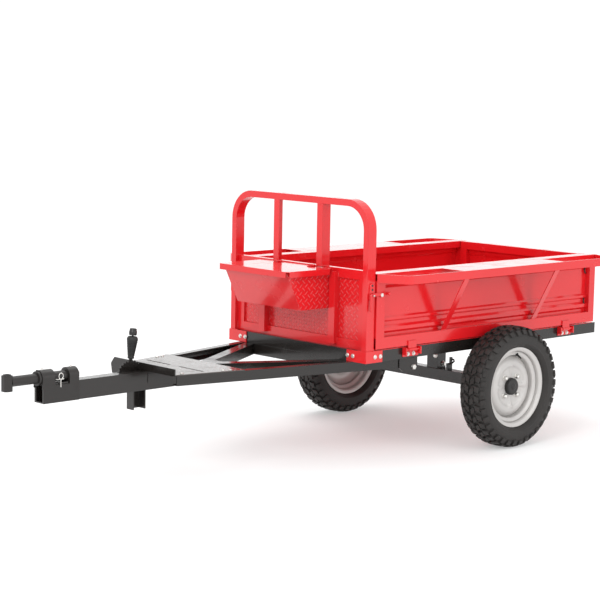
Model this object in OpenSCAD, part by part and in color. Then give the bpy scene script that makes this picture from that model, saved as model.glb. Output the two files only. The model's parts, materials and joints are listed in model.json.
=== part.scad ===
// Two-wheel tow behind cart: dropside bed, seat toolbox, backrest hoop, V drawbar with footrest,
// swivelling hitch, hand brake lever and two pneumatic wheels. Millimetres.
// +X forward to the hitch, +Y to the cart's left, +Z up. Ground at Z = 0.

/* [Bed] */
// length of the side gates
bed_length = 1550; // [1290:1860]
// width over the closed side gates
bed_width = 916; // [760:1100]
// height of the gates above the deck
gate_height = 335; // [280:402]
// underside of the gates above ground
deck_height = 519; // [510:560]
// axle centre to the rear end of the gates
rear_overhang = 748; // [620:900]
// how far the fender shelf stands out from a gate
shelf_reach = 140; // [110:168]
// height of the band round the shelf
shelf_band = 38; // [30:46]
// length of the plate that closes the shelf over the wheel
shelf_plate_length = 715; // [600:860]

/* [Backrest] */
// top of the hoop above the deck
guard_height = 656; // [545:790]
// outer bend radius of the hoop
guard_radius = 132; // [110:158]
// distance between the outer faces of the two upright bars
bar_spread = 320; // [266:384]

/* [Toolbox] */
// width of the box body
box_width = 418; // [348:502]
// depth at the top of the box
box_depth = 278; // [232:334]
// height of the box
box_height = 176; // [146:212]

/* [Drawbar] */
// bed front to the front of the hitch head
drawbar_length = 1645; // [1380:1974]
// width of the drawbar beam
beam_width = 54; // [45:65]
// height of the drawbar beam
beam_height = 80; // [66:96]
// length of the footrest plate
platform_length = 341; // [284:410]
// radius of the swivelling hitch shaft
shaft_r = 21; // [17.5:25]

/* [Wheels] */
// outside diameter of the tyres
tyre_od = 570; // [475:600]
// section width of the tyres
tyre_width = 144; // [120:172]
// diameter over the rim flanges
rim_od = 378; // [340:400]
// distance between the wheel centre planes
track = 1104; // [1080:1325]
// size of the square axle beam
axle_size = 55; // [46:66]

/* [Hidden] */
$fn = 24;
e = 0.01;
wr = tyre_od/2;
bw = bed_width/2;                 // outer face of the side gates
bf = bed_length - rear_overhang;  // front end of the side gates
gz0 = deck_height;                // gate underside
gz1 = gz0 + gate_height;          // gate top
rz1 = gz0 - 8;                    // top of the rails
rz0 = rz1 - 51;                   // underside of the rails
ry1 = bw - 8;                     // outer face of the rails
ry0 = ry1 - 50;
xr = -rear_overhang;              // rear end of the side gates
xe = xr - 25;                     // rear end of the rails
px0 = bf + 3;                     // rear face of the posts
px1 = px0 + 50;                   // front face of the posts
gt = 46;                          // gate frame thickness
gin = bw - 66;                    // inner edge of the gate top rail
hx = bf + drawbar_length;         // front of the hitch head
tail = -(xe - 20);                // rearmost point behind the axle
xo = (hx - tail)/2;               // axle ahead of or behind the middle
// drawbar arms
toe_x = px1 + (drawbar_length - 1645)*0.6 + 881;
plat_x1 = toe_x;
plat_x0 = toe_x - platform_length;
arm_fx = toe_x - 23;
arm_fy = 193;
head_w = 40;                      // across the flats of the hitch head
arm_rx = bf - 277;
arm_ry = ry1 + 1;
arm_a = atan((arm_ry - arm_fy)/(arm_fx - arm_rx));
arm_len = (arm_fx - arm_rx)/cos(arm_a);
arm_t = 44;
bz1 = rz0;                        // top of the beam
bz0 = bz1 - beam_height;
by = beam_width/2;
beam_x1 = hx - head_w - 135;      // front of the beam
brace_x0 = px1 - 1;               // brace meets the lower cross member
brace_s = 0.5525;
brace_y1 = arm_fy + tan(arm_a)*(arm_fx - px1) - 36/cos(arm_a) - 3.6;
brace_xb = brace_x0 + (brace_y1 - by)/brace_s;
beam_x0 = brace_xb - 56/brace_s;
// hitch
sz = bz1 + shaft_r + 1;           // shaft axis
ear_r = by + 6;                   // outside of the housing
ear_x1 = beam_x1 + 5;
ear_x0 = beam_x1 - 175;
// brake
lvx = toe_x + 50; lvz = bz1 - 24; lvy = -by - 5;
quad_r = 64;                      // root of the teeth
grip_z = quad_r + 10;             // foot of the grip above the pivot
// toolbox
tb_x0 = px0 + 31;
tb_z1 = gz1 + 4;
tb_z0 = tb_z1 - box_height;
bxw = box_width/2;
tb_x1 = px1 + box_depth - 18;
lid_x0 = tb_x0 + 32;
lid_x1 = tb_x1 + 15;
// wheels
yw = max(track/2, bw + tyre_width/2 + 20);
rfl = rim_od/2;
rw = 46;
disc_y = 8;
// hinge lines of the gates
hy = bw + 5; hz = gz0 - 19;
thx = xe - 12; thz = gz0 - 19;
lz = gz1 - 94;                    // latch height

red = [0.84, 0.06, 0.07];
blk = [0.07, 0.07, 0.075];
stl = [0.72, 0.72, 0.72];

module bx(a, b) { translate(a) cube([b[0]-a[0], b[1]-a[1], b[2]-a[2]]); }
module cy(p, h, r, ax = "z") {
  translate(p) rotate(ax == "x" ? [0,90,0] : ax == "y" ? [-90,0,0] : [0,0,0]) cylinder(h = h, r = r);
}
// prism drawn in the X-Z plane, from y0 to y1
module xz(pts, y0, y1) { translate([0,y1,0]) rotate([90,0,0]) linear_extrude(y1-y0) polygon(pts); }
// prism drawn in the Y-Z plane, from x0 to x1
module yz(pts, x0, x1) { translate([x0,0,0]) rotate([90,0,90]) linear_extrude(x1-x0) polygon(pts); }
module xy(pts, z0, z1) { translate([0,0,z0]) linear_extrude(z1-z0) polygon(pts); }
module flip(s) { if (s > 0) children(); else mirror([0,1,0]) children(); }
module place() { translate([-xo,0,0]) children(); }
// rectangular tube along X, Y or Z
module tube(a, b, t, ax) {
  difference() {
    bx(a, b);
    if (ax == "x") bx([a[0]-1,a[1]+t,a[2]+t],[b[0]+1,b[1]-t,b[2]-t]);
    if (ax == "y") bx([a[0]+t,a[1]-1,a[2]+t],[b[0]-t,b[1]+1,b[2]-t]);
    if (ax == "z") bx([a[0]+t,a[1]+t,a[2]-1],[b[0]-t,b[1]-t,b[2]+1]);
  }
}

/* ---- chassis ---- */
module rail(s) { color(blk) place() flip(s) tube([xe,ry0,rz0],[px1,ry1,rz1],4,"x"); }
module rail_l() { rail(1); }
module rail_r() { rail(-1); }
module crossmember_lower() {
  color(blk) place() tube([px0,-(brace_y1-4),rz0-50],[px1,brace_y1-4,rz0],4,"y");
}
module crossmembers() {
  color(blk) place() {
    tube([px0,-ry0,rz0],[px1,ry0,rz1],4,"y");
    tube([-30,-ry0,rz0],[30,ry0,rz1],4,"y");
    tube([bf*0.5-20,-ry0,rz1-40],[bf*0.5+20,ry0,rz1],3,"y");
    tube([xr*0.5-20,-ry0,rz1-40],[xr*0.5+20,ry0,rz1],3,"y");
    tube([xe,-ry0,rz0],[xe+50,ry0,rz1],4,"y");
  }
}
module bed_floor() { color(red) place() bx([xr,-ry1,rz1],[px0,ry1,rz1+3]); }

/* ---- axle ---- */
module axle_beam() {
  color(blk) place() {
    bx([-axle_size/2,-ry1-5,wr-axle_size/2],[axle_size/2,ry1+5,wr+axle_size/2]);
    for (s = [-1,1]) flip(s) {
      cy([0,ry1+5,wr], yw-ry1-5+8, 17.5, "y");
      bx([-6,182,wr+axle_size/2],[28,192,wr+axle_size/2+34]);
      bx([-6,182,wr+axle_size/2+34],[6,192,wr+axle_size/2+62]);
    }
  }
}
module axle_stands() {
  color(blk) place() for (s = [-1,1]) flip(s)
    tube([-30,60,wr+axle_size/2],[30,127,rz0],5,"z");
}
module axle_hangers() {
  color(blk) place() for (s = [-1,1]) flip(s) {
    xz([[-28,wr+axle_size/2],[28,wr+axle_size/2],[60,rz0],[-60,rz0]], ry0, ry0+6);
    xz([[-28,wr+axle_size/2],[28,wr+axle_size/2],[60,rz0],[-60,rz0]], ry1-6, ry1);
    bx([-4,ry0+6,wr+axle_size/2],[4,ry1-6,rz0]);
  }
}

/* ---- wheels ---- */
module wheel_at(s) { place() flip(s) translate([0,yw,wr]) rotate([-90,0,0]) children(); }
module tyre(s) {
  h = tyre_width/2; r1 = rfl - 21; q = wr - r1;
  color([0.09,0.09,0.09]) wheel_at(s) rotate_extrude($fn = 72) polygon([
    [r1,-rw+3.1],[rfl+0.8,-rw+1.3],[rfl+0.8,-rw-2],[r1+q*0.28,-h*0.9],[r1+q*0.52,-h],[r1+q*0.78,-h*0.95],[wr-4,-h*0.76],[wr,-h*0.6],
    [wr,h*0.6],[wr-4,h*0.76],[r1+q*0.78,h*0.95],[r1+q*0.52,h],[r1+q*0.28,h*0.9],[rfl+0.8,rw+2],[rfl+0.8,rw-1.3],[r1,rw-3.1],
    [r1,rw-16],[rfl+0.8,rw-10],[r1+q*0.28,h*0.9-11],[r1+q*0.52,h-9],[wr-20,h*0.76-5],[wr-15,0],[wr-20,-h*0.76+5],
    [r1+q*0.52,-h+9],[r1+q*0.28,-h*0.9+11],[rfl+0.8,-rw+10],[r1,-rw+16]]);
}
module tyre_l() { tyre(1); }
module tyre_r() { tyre(-1); }
module rim(s) {
  r1 = rfl - 21;
  color(stl) wheel_at(s) difference() {
    rotate_extrude($fn = 64) polygon([
      [39,disc_y],[86,disc_y],[98,disc_y+9],[118,disc_y+9],[r1-21,disc_y-6],[r1-21,disc_y-14],
      [r1-21,-12],[r1-3,-20],[r1-3,-rw+3],[rfl,-rw+1],[rfl,-rw-2],[r1-6,-rw-2],[r1-6,-23],[r1-25,-15],
      [r1-25,disc_y-12],[118,disc_y+3],[98,disc_y+3],[86,disc_y-6],[39,disc_y-6]]);
    for (a = [45:90:315]) rotate([0,0,a]) translate([60,0,-20]) cylinder(h = 60, r = 7);
  }
  color(stl) wheel_at(s) difference() {
    rotate_extrude($fn = 64) polygon([
      [r1-25,disc_y-6],[r1-21,disc_y-6],[r1-21,18],[r1-3,26],[r1-3,rw-3],[rfl,rw-1],[rfl,rw+2],[r1-6,rw+2],[r1-6,28],[r1-25,21]]);
  }
}
module rim_l() { rim(1); }
module rim_r() { rim(-1); }
module hub(s) {
  color(blk) wheel_at(s) difference() {
    union() {
      translate([0,0,-(yw-ry1-5)+8]) cylinder(h = yw-ry1-5-8+disc_y-6, r = 34);
      translate([0,0,disc_y-14]) cylinder(h = 8, r = 78);
      translate([0,0,disc_y-7]) cylinder(h = 22, r = 38.9, $fn = 40);
      translate([0,0,disc_y+15]) cylinder(h = 6, r1 = 36, r2 = 30, $fn = 40);
    }
    translate([0,0,-yw]) cylinder(h = yw+8.3, r = 17.55);
  }
}
module hub_l() { hub(1); }
module hub_r() { hub(-1); }
module lug_nuts(s) {
  color(stl) wheel_at(s) for (a = [45:90:315]) rotate([0,0,a]) translate([60,0,disc_y]) {
    cylinder(h = 13, r = 10.5, $fn = 6);
    cylinder(h = 17, r = 6);
  }
}
module lug_nuts_l() { lug_nuts(1); }
module lug_nuts_r() { lug_nuts(-1); }

/* ---- backrest, headboard, toolbox ---- */
module hoop_path(w0, w1) {
  // flat frame in the Y-Z plane between two offsets of the outer outline
  z0 = rz1; z1 = gz0 + guard_height; R = guard_radius; n = 10;
  function arc(d, s) = [for (i = [0:n]) let (a = 90*i/n)
    s > 0 ? [ry1-R + (R-d)*cos(a), z1-R + (R-d)*sin(a)] : [-(ry1-R) - (R-d)*sin(a), z1-R + (R-d)*cos(a)]];
  o = concat([[ry1-w0, z0]], arc(w0,1), arc(w0,-1), [[-ry1+w0, z0]]);
  i = concat([[-ry1+w1, z0]], [for (k = [2*n+1:-1:0]) concat(arc(w1,1), arc(w1,-1))[k]], [[ry1-w1, z0]]);
  polygon(concat(o, i));
}
module guard_hoop() {
  color(red) place() difference() {
    translate([px0,0,0]) rotate([90,0,90]) linear_extrude(50) hoop_path(0, 30);
    translate([px0+2.5,0,0]) rotate([90,0,90]) linear_extrude(45) hoop_path(2.5, 27.5);
  }
}
module guard_bars() {
  z0 = gz1 + 11; z1 = gz0 + guard_height - 30; y = bar_spread/2;
  color(red) place() for (s = [-1,1]) flip(s) {
    bx([px1-4,y-35,z0],[px1,y,z1]);
    bx([px0,y-4,z0],[px1-4,y,z1]);
  }
}
module headboard_frame() {
  x0 = px0+7; x1 = px0+31; y = ry1-30; z0 = rz1; z1 = gz1+11;
  w = 2.5;
  color(red) place() difference() {
    union() {
      bx([x0,-y,z0],[x1,y,z0+42]);
      bx([x0,-y,z1-42],[x1,y,z1]);
      for (s = [-1,1]) flip(s) bx([x0,y-42,z0+42],[x1,y,z1-42]);
      for (s = [-1,1]) flip(s) bx([x0,bxw+4,z0+42],[x1,bxw+40,z1-42]);
    }
    for (z = [z0+w,z1-42+w]) bx([x0+w,-y-1,z],[x1-w,y+1,z+42-2*w]);
    for (s = [-1,1]) flip(s) {
      bx([x0+w,y-42+w,z0+30],[x1-w,y-w,z1-20]);
      bx([x0+w,bxw+4+w,z0+30],[x1-w,bxw+40-w,z1-20]);
    }
  }
}
module headboard_panel() {
  x0 = px0+17; y = ry1-72; z0 = rz1+42; z1 = gz1-31;
  color(red) place() {
    bx([x0,-bxw-4,z0],[x0+4,bxw+4,z1]);
    for (s = [-1,1]) flip(s) bx([x0,bxw+40,z0],[x0+4,y,z1]);
  }
}
module toolbox_supports() {
  x0 = px0+31; z0 = rz1+14; z1 = gz1-4;
  color(red) place() for (s = [-1,1]) flip(s) {
    bx([x0,bxw+3,z0],[x0+22,bxw+7,z1]);
    bx([x0,bxw+37,z0],[x0+22,bxw+41,z1]);
    bx([x0+18,bxw+7,z0],[x0+22,bxw+37,z1]);
  }
}
module foot_plates() {
  color(red) place() for (s = [-1,1]) flip(s) {
    bx([px1,ry1-115,rz0],[px1+5,ry1+5,rz1+1]);
    bx([px1-100,ry1,rz0],[px1,ry1+5,rz1+1]);
  }
}
module frame_bolts() { foot_bolts(); hinge_bolts(); arm_bolts(); platform_bolts(); latch_keepers(); }
module foot_bolts() {
  color(stl) place() for (s = [-1,1]) flip(s) {
    for (y = [ry1-109,ry1-75]) cy([px1+5,y,rz0+26], 6, 7.5, "x");
    for (x = [px1-87,px1-53]) cy([x,ry1+5,rz0+26], 6, 7.5, "y");
  }
}
module latch_keepers() {
  color(stl) place() for (s = [-1,1]) flip(s) {
    cy([px0+20,ry1,lz], 17, 4, "y");
  }
}
module toolbox_body() {
  t = 2.5; fb = tb_x1 - (box_depth*0.32);
  pts = [[tb_x0,tb_z1],[tb_x0,tb_z0],[fb,tb_z0],[tb_x1,tb_z1]];
  inn = [[tb_x0+t,tb_z1+1],[tb_x0+t,tb_z0+t],[fb-t,tb_z0+t],[tb_x1-t*1.2,tb_z1+1]];
  color(red) place() {
    difference() {
      xz(pts, -bxw, bxw);
      xz(inn, -bxw+t, bxw-t);
    }
    bx([tb_x0,-bxw,tb_z1],[lid_x0-4,bxw,tb_z1+3]);
  }
}
module toolbox_lid() {
  z0 = tb_z1; z1 = tb_z1+3; o = 23; w = bxw+o; c = 14;
  color(red) place() {
    xy([[lid_x0,-w],[lid_x1-c,-w],[lid_x1,-w+c],[lid_x1,w-c],[lid_x1-c,w],[lid_x0,w]], z0, z1);
    bx([lid_x1-3,-w+c,z0-24],[lid_x1,w-c,z0]);
    for (s = [-1,1]) flip(s) {
      bx([lid_x0+4,w-3,z0-24],[lid_x1-c,w,z0]);
      translate([lid_x0,0,z1+5]) {
        difference() {
          union() { cy([0,104,0], 12, 5, "y"); bx([0,104,-5],[24,116,-2.5]); }
          cy([0,100,0], 20, 2.55, "y");
        }
      }
    }
  }
}
module toolbox_hinges() {
  z1 = tb_z1+8;
  color(red) place() for (s = [-1,1]) flip(s) {
    cy([lid_x0,92,z1], 36, 2.5, "y");
    for (y = [92,117]) {
      cy([lid_x0,y,z1], 11, 5, "y");
      bx([lid_x0-22,y,z1-5],[lid_x0-2,y+11,z1-2.5]);
    }
  }
}

/* ---- side gates ---- */
module gate_frame(s) {
  h1 = (bf+xr)/2 + 545; h2 = (bf+xr)/2 - 553;
  w = 2.5;
  color(red) place() flip(s) {
    difference() {
      union() {
        bx([xr,gin,gz1-34],[bf,bw,gz1]);
        bx([xr,bw-gt,gz0],[bf,bw,gz0+50]);
        bx([bf-52,bw-gt,gz0+50],[bf,bw,gz1-34]);
        bx([xr,gin,gz0+50],[xr+42,bw,gz1-34]);
      }
      bx([xr+w,gin+w,gz1-34+w],[bf+1,bw-w,gz1-w]);
      bx([xr+w,bw-gt+w,gz0+w],[bf+1,bw-w,gz0+50-w]);
      bx([bf-52+w,bw-gt+w,gz0+40],[bf-w,bw-w,gz1-20]);
      bx([xr+w,bw-gt+w,gz0+40],[xr+42-w,bw-w,gz1-20]);
    }
    for (x = [h1,h2]) difference() {
      union() {
        bx([x-26,bw,gz0+1],[x+26,bw+6,gz0+22]);
        bx([x-26,hy-4,hz],[x+26,hy+1,gz0+1.5]);
        cy([x-26,hy,hz], 52, 7.4, "x");
      }
      cy([x-30,hy,hz], 60, 5.05, "x");
    }
    cy([bf-26,bw,lz], 11, 4, "y");
    cy([xr-14,bw-33,lz-11.5], 14, 4, "x");
  }
}
module gate_frame_l() { gate_frame(1); }
module gate_frame_r() { gate_frame(-1); }
module gate_panel(s) {
  // pressed sheet with two ribs low down and a step at the top
  y = bw-24; z0 = gz0+50; z1 = gz1-34; h = z1-z0; t = 3;
  o = [[0,0],[0,h*0.06],[10,h*0.1],[10,h*0.16],[0,h*0.2],[0,h*0.26],[7,h*0.29],[7,h*0.33],[0,h*0.36],
       [0,h*0.86],[-9,h*0.91],[-9,h]];
  color(red) place() flip(s) yz(concat([for (p = o) [y+p[0],z0+p[1]]],
     [for (i = [len(o)-1:-1:0]) [y+o[i][0]-t,z0+o[i][1]]]), xr+42, bf-52);
}
module gate_panel_l() { gate_panel(1); }
module gate_panel_r() { gate_panel(-1); }
module shelf_rail(s) {
  r = shelf_reach; xa = bf; xb = xr; t = 5; cx = (bf+xr)/2;
  o = [[xa,bw],[xa-50,bw+r*0.84],[xa-62,bw+r*0.95],[xa-84,bw+r],[xb+84,bw+r],[xb+62,bw+r*0.95],[xb+50,bw+r*0.84],[xb,bw]];
  i = [[xb+5.5,bw],[xb+54.3,bw+r*0.84-2],[xb+65,bw+r*0.95-4],[xb+85,bw+r-t],[xa-85,bw+r-t],[xa-65,bw+r*0.95-4],[xa-54.3,bw+r*0.84-2],[xa-5.5,bw]];
  color(red) place() flip(s) {
    xy(concat(o,i), gz1-shelf_band, gz1);
    for (d = [-1,1]) {
      x = cx + d*shelf_plate_length*0.45;
      yz([[bw,gz0+50],[bw,gz0+82],[bw+r-28,gz1-shelf_band],[bw+r-28,gz1-8],[bw+r-t,gz1-8],[bw+r-t,gz1-shelf_band]], x-2.5, x+2.5);
      yz([[bw,gz0+50],[bw,gz0+56],[bw+r-t-5,gz1-shelf_band],[bw+r-t-5,gz1-8],[bw+r-t,gz1-8],[bw+r-t,gz1-shelf_band]], x+2.5, x+30);
    }
  }
}
module shelf_rail_l() { shelf_rail(1); }
module shelf_rail_r() { shelf_rail(-1); }
module shelf_plate(s) {
  cx = (bf+xr)/2;
  color(red) place() flip(s)
    bx([cx-shelf_plate_length/2,bw,gz1-3],[cx+shelf_plate_length/2,bw+shelf_reach-5,gz1]);
}
module shelf_plate_l() { shelf_plate(1); }
module shelf_plate_r() { shelf_plate(-1); }
module hinge_brackets() {
  h1 = (bf+xr)/2 + 545; h2 = (bf+xr)/2 - 553;
  color(red) place() for (s = [-1,1]) flip(s) for (x = [h1,h2]) {
    bx([x-50,ry1,rz0+9],[x+50,ry1+4.5,rz1]);
    for (d = [-1,1]) bx([x+d*47-3,ry1+4.5,rz0+18],[x+d*47+3,ry1+24,rz1]);
    cy([x-50,hy,hz], 100, 5, "x");
  }
}
module hinge_bolts() {
  h1 = (bf+xr)/2 + 545; h2 = (bf+xr)/2 - 553;
  color(stl) place() for (s = [-1,1]) flip(s) for (x = [h1,h2], d = [-18,18])
    cy([x+d,ry1+4.5,rz0+20], 6, 7.5, "y");
}

/* ---- tailgate ---- */
module tailgate_frame() {
  x0 = xr+5; x1 = x0+gt; y = gin-4; w = 2.5;
  color(red) place() {
    difference() {
      union() {
        bx([x0,-y,gz0],[x1,y,gz0+50]);
        bx([x0,-y,gz1-40],[x1,y,gz1]);
        for (s = [-1,1]) flip(s) bx([x0,y-42,gz0+50],[x1,y,gz1-40]);
      }
      for (z = [gz0+w,gz1-40+w]) bx([x0+w,-y-1,z],[x1-w,y+1,z+(z<gz0+50 ? 50 : 40)-2*w]);
      for (s = [-1,1]) flip(s) bx([x0+w,y-42+w,gz0+40],[x1-w,y-w,gz1-20]);
    }
    for (s = [-1,1]) flip(s) {
      cy([x0-15,y-24,lz], 15, 4, "x");
      difference() {
        xz([[x0,gz0+5],[x0,gz0+41],[x0-8,gz0+41],[thx-4,thz+17],[thx-8,thz],[thx+7,thz],[xe-1.5,rz1+3]], y-90, y-78);
        cy([thx,y-100,thz], 40, 5.05, "y");
      }
      difference() {
        cy([thx,y-90,thz], 12, 8, "y");
        cy([thx,y-100,thz], 40, 5.05, "y");
      }
    }
  }
}
module tailgate_panel() {
  x = xr+20; y = gin-46; z0 = gz0+50; z1 = gz1-40; h = z1-z0; t = 3;
  o = [[0,0],[0,h*0.08],[-8,h*0.13],[-8,h*0.2],[0,h*0.25],[0,h*0.86],[8,h*0.92],[8,h]];
  color(red) place() xz(concat([for (p = o) [x+p[0],z0+p[1]]],
     [for (i = [len(o)-1:-1:0]) [x+o[i][0]+t,z0+o[i][1]]]), -y, y);
}
module tail_hinges() {
  y = gin-4;
  color(red) place() for (s = [-1,1]) flip(s) {
    bx([xe-3,y-110,rz0+6],[xe,y-58,rz0+20]);
    for (q = [y-104,y-74.5]) difference() {
      xz([[xe,rz0+8],[xe,thz+9],[thx-3,thz+9],[thx-8,thz],[thx-8,thz-6],[xe-5,rz0+8]], q, q+10);
      cy([thx,y-120,thz], 70, 4.5, "y");
    }
    cy([thx,y-104,thz], 39.5, 5, "y");
  }
}

/* ---- latches ---- */
// hook plate in its own X-Z plane: pivot at the origin, catch at [46,0]
module hook2d(L) {
  difference() {
    union() {
      circle(r = 11);
      translate([0,-3]) square([L,14]);
      translate([L,0]) circle(r = 11);
      translate([-34,1]) square([34,9]);
      translate([-36,5]) circle(r = 8);
    }
    circle(r = 4.05);
    translate([L,0]) circle(r = 4.6);
    translate([L-8,-20]) square([12.6,20]);
  }
}
module latch_front(s) {
  color(red) place() flip(s) translate([bf-26,bw+6,lz]) rotate([90,0,0]) linear_extrude(5) hook2d(px0+20-bf+26);
}
module latch_fl() { latch_front(1); }
module latch_fr() { latch_front(-1); }
module latch_rear(s) {
  L = bw-33-(gin-28);
  color(red) place() flip(s) translate([xr-6.5,gin-28,lz]) rotate([90,0,90]) linear_extrude(5) difference() {
    union() {
      circle(r = 11);
      polygon([[0,-7],[L-5,-7],[L+12,-1],[L+12,6],[L-4,10],[0,10]]);
      translate([-7,0]) square([12,44]);
      translate([-1,46]) circle(r = 8);
    }
    circle(r = 4.05);
  }
}
module latch_rl() { latch_rear(1); }
module latch_rr() { latch_rear(-1); }

/* ---- drawbar ---- */
module drawbar_beam() {
  color(blk) place() difference() {
    bx([beam_x0,-by,bz0],[beam_x1,by,bz1]);
    bx([beam_x0-1,-by+5,bz0+5],[beam_x1+1,by-5,bz1-5]);
  }
}
module arm_at(s) { place() flip(s) translate([arm_fx,arm_fy,0]) rotate([0,0,180-arm_a]) children(); }
module drawbar_arm(s) {
  color(blk) arm_at(s) {
    bx([0,0,rz0-arm_t],[arm_len,5,rz0]);
    bx([0,5,rz0-5],[arm_len-30,36,rz0]);
    bx([0,5,rz0-arm_t],[arm_len,36,rz0-arm_t+5]);
  }
}
module drawbar_arm_l() { drawbar_arm(1); }
module drawbar_arm_r() { drawbar_arm(-1); }
module arm_brackets() {
  L = arm_len; z = rz0;
  color(blk) for (s = [-1,1]) arm_at(s) translate([0,0,0]) rotate([90,0,0]) linear_extrude(6) difference() {
    union() {
      polygon([[L-100,z-1],[L-100,z-arm_t],[L-80,z-62],[L-22,z-62],[L-4,z-50],[L-4,z-24],[L-14,z-4],[L-22,z-1]]);
    }
    translate([L-24,z-42]) circle(r = 8.05);
  }
}
module arm_bolts() {
  color(stl) for (s = [-1,1]) arm_at(s) {
    translate([arm_len-24,0,rz0-42]) rotate([90,0,0]) cylinder(h = 6, r = 8);
    translate([arm_len-24,-6,rz0-42]) rotate([90,0,0]) cylinder(h = 8, r = 12, $fn = 6);
  }
}
module drawbar_braces() {
  w = 56; k = brace_s;
  color(blk) place() for (s = [-1,1]) flip(s) difference() {
    xy([[brace_x0+1,brace_y1],[brace_xb+1,by],[beam_x0+1,by],[brace_x0+1,brace_y1-w]], rz0-50, rz0);
    xy([[brace_x0-9,brace_y1-4.6+10*k],[brace_xb-9,by-.0],[beam_x0+9.4,by],[brace_x0-9,brace_y1-w+4.6+10*k]], rz0-46, rz0-4);
  }
}
module foot_platform() {
  k = tan(arm_a); y1 = arm_fy + k*(arm_fx-plat_x1) + 1; y0 = arm_fy + k*(arm_fx-plat_x0);
  sx = plat_x1 - 168;
  color([0.8,0.8,0.8]) place() difference() {
    xy([[plat_x1,-y1],[plat_x1,y1],[plat_x0,y0],[plat_x0,-y0]], rz0, rz0+4);
    for (s = [-1,1]) flip(s) bx([sx-5,by+4,rz0-1],[sx+5,arm_fy-2,rz0+5]);
  }
}
module platform_bolts() {
  k = tan(arm_a);
  color(stl) place() for (s = [-1,1]) flip(s) for (q = [[55,20],[90,20],[platform_length-60,22]])
    cy([plat_x0+q[0],arm_fy+k*(arm_fx-plat_x0-q[0])-q[1],rz0+4], 3.5, 6.5, "z");
}
module toe_board() {
  color(blk) place() yz([[-214,rz0-38],[-by-3,rz0-38],[-by-3,rz0+1],[212,rz0+1],[212,rz0+33],
    [-198,rz0+33],[-222,rz0+4]], toe_x, toe_x+5);
}
module stand_foot() {
  x = toe_x+6;
  color(blk) place() {
    bx([x,-22,bz0-80],[x+67,-17,bz0]);
    bx([x,-17,bz0-80],[x+5,22,bz0]);
    bx([x+62,-17,bz0-80],[x+67,22,bz0]);
  }
}

/* ---- hitch ---- */
// two straps round the shaft, standing on side plates
module hitch_housing() {
  color(blk) place() difference() {
    union() {
      for (q = [[ear_x0,47],[ear_x1-62,62]]) {
        cy([q[0],0,sz], q[1], ear_r, "x");
        bx([q[0],-ear_r,bz1],[q[0]+q[1],ear_r,sz]);
        for (s = [-1,1]) flip(s) bx([q[0],by,bz1-20],[q[0]+q[1],ear_r,sz]);
      }
      for (s = [-1,1]) flip(s) bx([ear_x0,by,bz0],[beam_x1,ear_r,bz1-8]);
    }
    cy([ear_x0-5,0,sz], ear_x1-ear_x0+10, shaft_r+0.05, "x");
    bx([ear_x0-1,-by,bz0-1],[ear_x1+3,by,bz1]);
  }
}
module hitch_shaft() {
  color(blk) place() cy([ear_x0-3,0,sz], hx-head_w+6-(ear_x0-3), shaft_r, "x");
}
module hitch_collars() {
  color(blk) place() {
    difference() {
      cy([ear_x1+2,0,sz], 9, shaft_r+9, "x");
      cy([ear_x1+1,0,sz], 12, shaft_r, "x");
    }
    cy([ear_x1+6.5,0,sz+shaft_r+8], 6, 4, "z");
    translate([ear_x0-13,0,sz]) rotate([0,90,0]) cylinder(h = 10, r = shaft_r-2, $fn = 6);
  }
}
module hitch_head() {
  w = head_w/2; c = 9;
  color(blk) place() difference() {
    union() {
      translate([hx-w,0,0]) xy([[w,-w+c],[w,w-c],[w-c,w],[-w+c,w],[-w,w-c],[-w,-w+c],[-w+c,-w],[w-c,-w]], sz-37, sz+27);
      cy([hx-w,0,sz+27], 4, 16, "z");
    }
    cy([hx-w,0,sz-40], 90, 10, "z");
    cy([hx-head_w-1,0,sz], 7, shaft_r, "x");
  }
}
module swivel_clip() {
  x = beam_x1-82; y = ear_r;
  color(stl) place() {
    bx([x-3,y,bz1-20],[x+3,y+5,sz-4]);
    translate([x,y+2.5,sz+5]) rotate([90,0,0]) difference() {
      cylinder(h = 4, r = 11, center = true);
      cylinder(h = 6, r = 7, center = true);
    }
    bx([x-14,y+0.6,sz-8],[x+14,y+4.2,sz-4.5]);
  }
}

/* ---- hand brake ---- */
module brake_quadrant() {
  xb = toe_x + 5;  // it stands against the toe board
  p = [for (a = [20:13:137]) each [for (t = [[-4.5,0],[-2,6.5],[2,6.5],[4.5,0]])
    [max(xb, lvx + (quad_r+t[1])*cos(a+t[0])), lvz + (quad_r+t[1])*sin(a+t[0])]]];
  color(blk) place() {
    xz(concat([[xb,lvz-16],[lvx+62,lvz-16]], p), lvy, lvy+5);
    cy([lvx,lvy-12,lvz], 12, 6, "y");
  }
}
module lever_at() { place() translate([lvx,lvy-7,lvz]) rotate([0,-6,0]) children(); }
module brake_lever() {
  color(blk) lever_at() difference() {
    union() {
      rotate([-90,0,0]) cylinder(h = 6, r = 13);
      bx([-8,0,0],[8,6,grip_z]);
      translate([0,3,grip_z-2]) cylinder(h = 94, r = 7);
    }
    translate([0,-1,0]) rotate([-90,0,0]) cylinder(h = 8, r = 6.05);
    translate([0,3,grip_z+22]) cylinder(h = 80, r = 4.05);
  }
}
module brake_grip() {
  color([0.03,0.03,0.03]) lever_at() translate([0,3,grip_z]) difference() {
    union() { cylinder(h = 84, r1 = 14, r2 = 24); translate([0,0,84]) cylinder(h = 12, r1 = 24, r2 = 17); }
    translate([0,0,-1]) cylinder(h = 110, r = 7);
  }
}
module brake_button() {
  color([0.03,0.03,0.03]) lever_at() translate([0,3,grip_z]) {
    translate([0,0,50]) cylinder(h = 57, r = 4);
    translate([0,0,105]) cylinder(h = 24, r1 = 15, r2 = 13);
  }
}

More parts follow.
